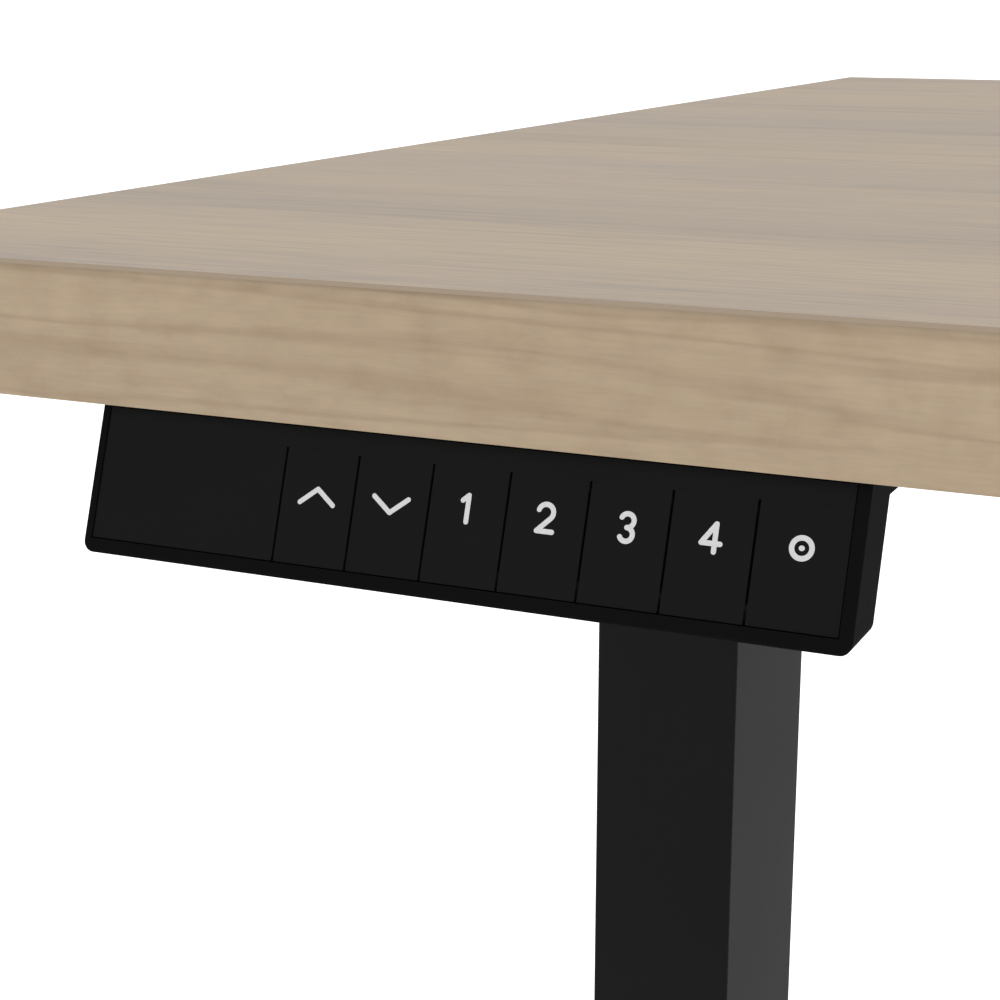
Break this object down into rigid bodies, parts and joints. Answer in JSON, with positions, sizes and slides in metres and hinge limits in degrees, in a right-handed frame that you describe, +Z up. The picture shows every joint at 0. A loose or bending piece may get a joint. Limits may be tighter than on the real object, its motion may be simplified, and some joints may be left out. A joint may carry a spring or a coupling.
{
  "type": "height adjustable standing desk",
  "caption": "Rectangular laminate tabletop on motor driven telescopic steel columns with flat feet, and a slim key handset under the front edge.",
  "frame": {"origin": "on the floor under the middle of the tabletop", "axes": "+Z up, +X along the tabletop's length, the user stands at -Y with the handset at the left"},
  "size_m": [1.6, 0.7574, 0.74],
  "materials": {
    "tabletop_core": "raw particle board",
    "top_laminate": "matt oak laminate",
    "edge_band": "matt oak edge band",
    "frame_black": "satin black powder coat",
    "foot_cap_plastic": "moulded black",
    "leveller_rubber": "matt black",
    "zinc_fasteners": "zinc plated",
    "screw_steel": "rolled thread, greased",
    "push_tube_steel": "drawn tube",
    "nut_plastic": "natural acetal",
    "glide_plastic": "natural nylon",
    "gearbox_casting": "die cast",
    "motor_can": "black dipped",
    "control_housing": "textured black",
    "control_lid": "satin black",
    "circuit_board": "solder mask",
    "socket_plastic": "white nylon",
    "inlet_plastic": "moulded black",
    "lead_jacket": "black jacket",
    "clip_plastic": "moulded black",
    "handset_plastic": "fine textured black",
    "panel_plastic": "satin black film"
  },
  "bodies": {
    "base": {"left_foot": "frame_black", "right_foot": "frame_black", "foot_end_caps": "foot_cap_plastic", "foot_bolts": "zinc_fasteners", "left_lower_tube": "frame_black", "right_lower_tube": "frame_black", "lower_glides": "glide_plastic", "push_tubes": "push_tube_steel", "lower_nuts": "nut_plastic"},
    "left_middle": {"left_middle_tube": "frame_black", "left_middle_glide": "glide_plastic", "left_nut_block": "nut_plastic"},
    "left_drive_screw": {"left_drive_screw": "screw_steel"},
    "left_hollow_screw": {"left_hollow_screw": "screw_steel"},
    "left_front_leveller": {"left_front_leveller": "leveller_rubber"},
    "left_rear_leveller": {"left_rear_leveller": "leveller_rubber"},
    "right_middle": {"right_middle_tube": "frame_black", "right_middle_glide": "glide_plastic", "right_nut_block": "nut_plastic"},
    "right_drive_screw": {"right_drive_screw": "screw_steel"},
    "right_hollow_screw": {"right_hollow_screw": "screw_steel"},
    "right_front_leveller": {"right_front_leveller": "leveller_rubber"},
    "right_rear_leveller": {"right_rear_leveller": "leveller_rubber"},
    "key_up": {"key_up": "panel_plastic"},
    "key_down": {"key_down": "panel_plastic"},
    "key_one": {"key_one": "panel_plastic"},
    "key_two": {"key_two": "panel_plastic"},
    "key_three": {"key_three": "panel_plastic"},
    "key_four": {"key_four": "panel_plastic"},
    "key_memory": {"key_memory": "panel_plastic"},
    "top": {"centre_rails": "frame_black", "control_board": "circuit_board", "control_box_housing": "control_housing", "control_box_lid": "control_lid", "edge_band": "edge_band", "frame_bolts": "zinc_fasteners", "gearbox_screws": "zinc_fasteners", "handset_back_cover": "handset_plastic", "handset_board": "circuit_board", "handset_case": "handset_plastic", "handset_lead": "lead_jacket", "key_panel": "panel_plastic", "lead_clips": "clip_plastic", "lead_sockets": "socket_plastic", "left_frame_end": "frame_black", "left_gearbox": "gearbox_casting", "left_motor": "motor_can", "left_motor_lead": "lead_jacket", "left_side_bracket": "frame_black", "left_upper_tube": "frame_black", "power_inlet": "inlet_plastic", "right_frame_end": "frame_black", "right_gearbox": "gearbox_casting", "right_motor": "motor_can", "right_motor_lead": "lead_jacket", "right_side_bracket": "frame_black", "right_upper_tube": "frame_black", "tabletop_core": "tabletop_core", "top_laminate": "top_laminate", "wood_screws": "zinc_fasteners"}
  },
  "joints": [
    {"name": "lift", "type": "slide", "parent": "base", "child": "top", "axis": [0, 0, 1], "range_m": [-0.12, 0.53]},
    {"name": "left_middle_slide", "type": "slide", "parent": "base", "child": "left_middle", "axis": [0, 0, 1], "range_m": [-0.0601, 0.2651]},
    {"name": "left_drive_turn", "type": "hinge", "parent": "top", "child": "left_drive_screw", "pos_m": [-0.7427, 0, 0.659], "axis": [0, 0, 1], "range_deg": [-3602, 15902]},
    {"name": "left_hollow_turn", "type": "hinge", "parent": "left_middle", "child": "left_hollow_screw", "pos_m": [-0.7427, 0, 0.575], "axis": [0, 0, 1], "range_deg": [-3602, 15902]},
    {"name": "left_front_leveller_turn", "type": "hinge", "parent": "base", "child": "left_front_leveller", "pos_m": [-0.7427, -0.305, 0], "axis": [0, 0, 1], "continuous": true},
    {"name": "left_rear_leveller_turn", "type": "hinge", "parent": "base", "child": "left_rear_leveller", "pos_m": [-0.7427, 0.305, 0], "axis": [0, 0, 1], "continuous": true},
    {"name": "right_middle_slide", "type": "slide", "parent": "base", "child": "right_middle", "axis": [0, 0, 1], "range_m": [-0.0601, 0.2651]},
    {"name": "right_drive_turn", "type": "hinge", "parent": "top", "child": "right_drive_screw", "pos_m": [0.7427, 0, 0.659], "axis": [0, 0, 1], "range_deg": [-3602, 15902]},
    {"name": "right_hollow_turn", "type": "hinge", "parent": "right_middle", "child": "right_hollow_screw", "pos_m": [0.7427, 0, 0.575], "axis": [0, 0, 1], "range_deg": [-3602, 15902]},
    {"name": "right_front_leveller_turn", "type": "hinge", "parent": "base", "child": "right_front_leveller", "pos_m": [0.7427, -0.305, 0], "axis": [0, 0, 1], "continuous": true},
    {"name": "right_rear_leveller_turn", "type": "hinge", "parent": "base", "child": "right_rear_leveller", "pos_m": [0.7427, 0.305, 0], "axis": [0, 0, 1], "continuous": true},
    {"name": "key_up_press", "type": "hinge", "parent": "top", "child": "key_up", "pos_m": [-0.68299, -0.37359, 0.71038], "axis": [1, 0, 0], "range_deg": [0, 2.2], "stiffness_Nm_per_rad": 0.05},
    {"name": "key_down_press", "type": "hinge", "parent": "top", "child": "key_down", "pos_m": [-0.66896, -0.37359, 0.71038], "axis": [1, 0, 0], "range_deg": [0, 2.2], "stiffness_Nm_per_rad": 0.05},
    {"name": "key_one_press", "type": "hinge", "parent": "top", "child": "key_one", "pos_m": [-0.65492, -0.37359, 0.71038], "axis": [1, 0, 0], "range_deg": [0, 2.2], "stiffness_Nm_per_rad": 0.05},
    {"name": "key_two_press", "type": "hinge", "parent": "top", "child": "key_two", "pos_m": [-0.64089, -0.37359, 0.71038], "axis": [1, 0, 0], "range_deg": [0, 2.2], "stiffness_Nm_per_rad": 0.05},
    {"name": "key_three_press", "type": "hinge", "parent": "top", "child": "key_three", "pos_m": [-0.62687, -0.37359, 0.71038], "axis": [1, 0, 0], "range_deg": [0, 2.2], "stiffness_Nm_per_rad": 0.05},
    {"name": "key_four_press", "type": "hinge", "parent": "top", "child": "key_four", "pos_m": [-0.61284, -0.37359, 0.71038], "axis": [1, 0, 0], "range_deg": [0, 2.2], "stiffness_Nm_per_rad": 0.05},
    {"name": "key_memory_press", "type": "hinge", "parent": "top", "child": "key_memory", "pos_m": [-0.59881, -0.37359, 0.71038], "axis": [1, 0, 0], "range_deg": [0, 2.2], "stiffness_Nm_per_rad": 0.05}
  ],
  "couplings": [
    {"joint": "left_middle_slide", "follows": "lift", "ratio": 0.5},
    {"joint": "left_drive_turn", "follows": "lift", "rad_per_m": 523.6},
    {"joint": "left_hollow_turn", "follows": "lift", "rad_per_m": 523.6},
    {"joint": "right_middle_slide", "follows": "lift", "ratio": 0.5},
    {"joint": "right_drive_turn", "follows": "lift", "rad_per_m": 523.6},
    {"joint": "right_hollow_turn", "follows": "lift", "rad_per_m": 523.6}
  ]
}
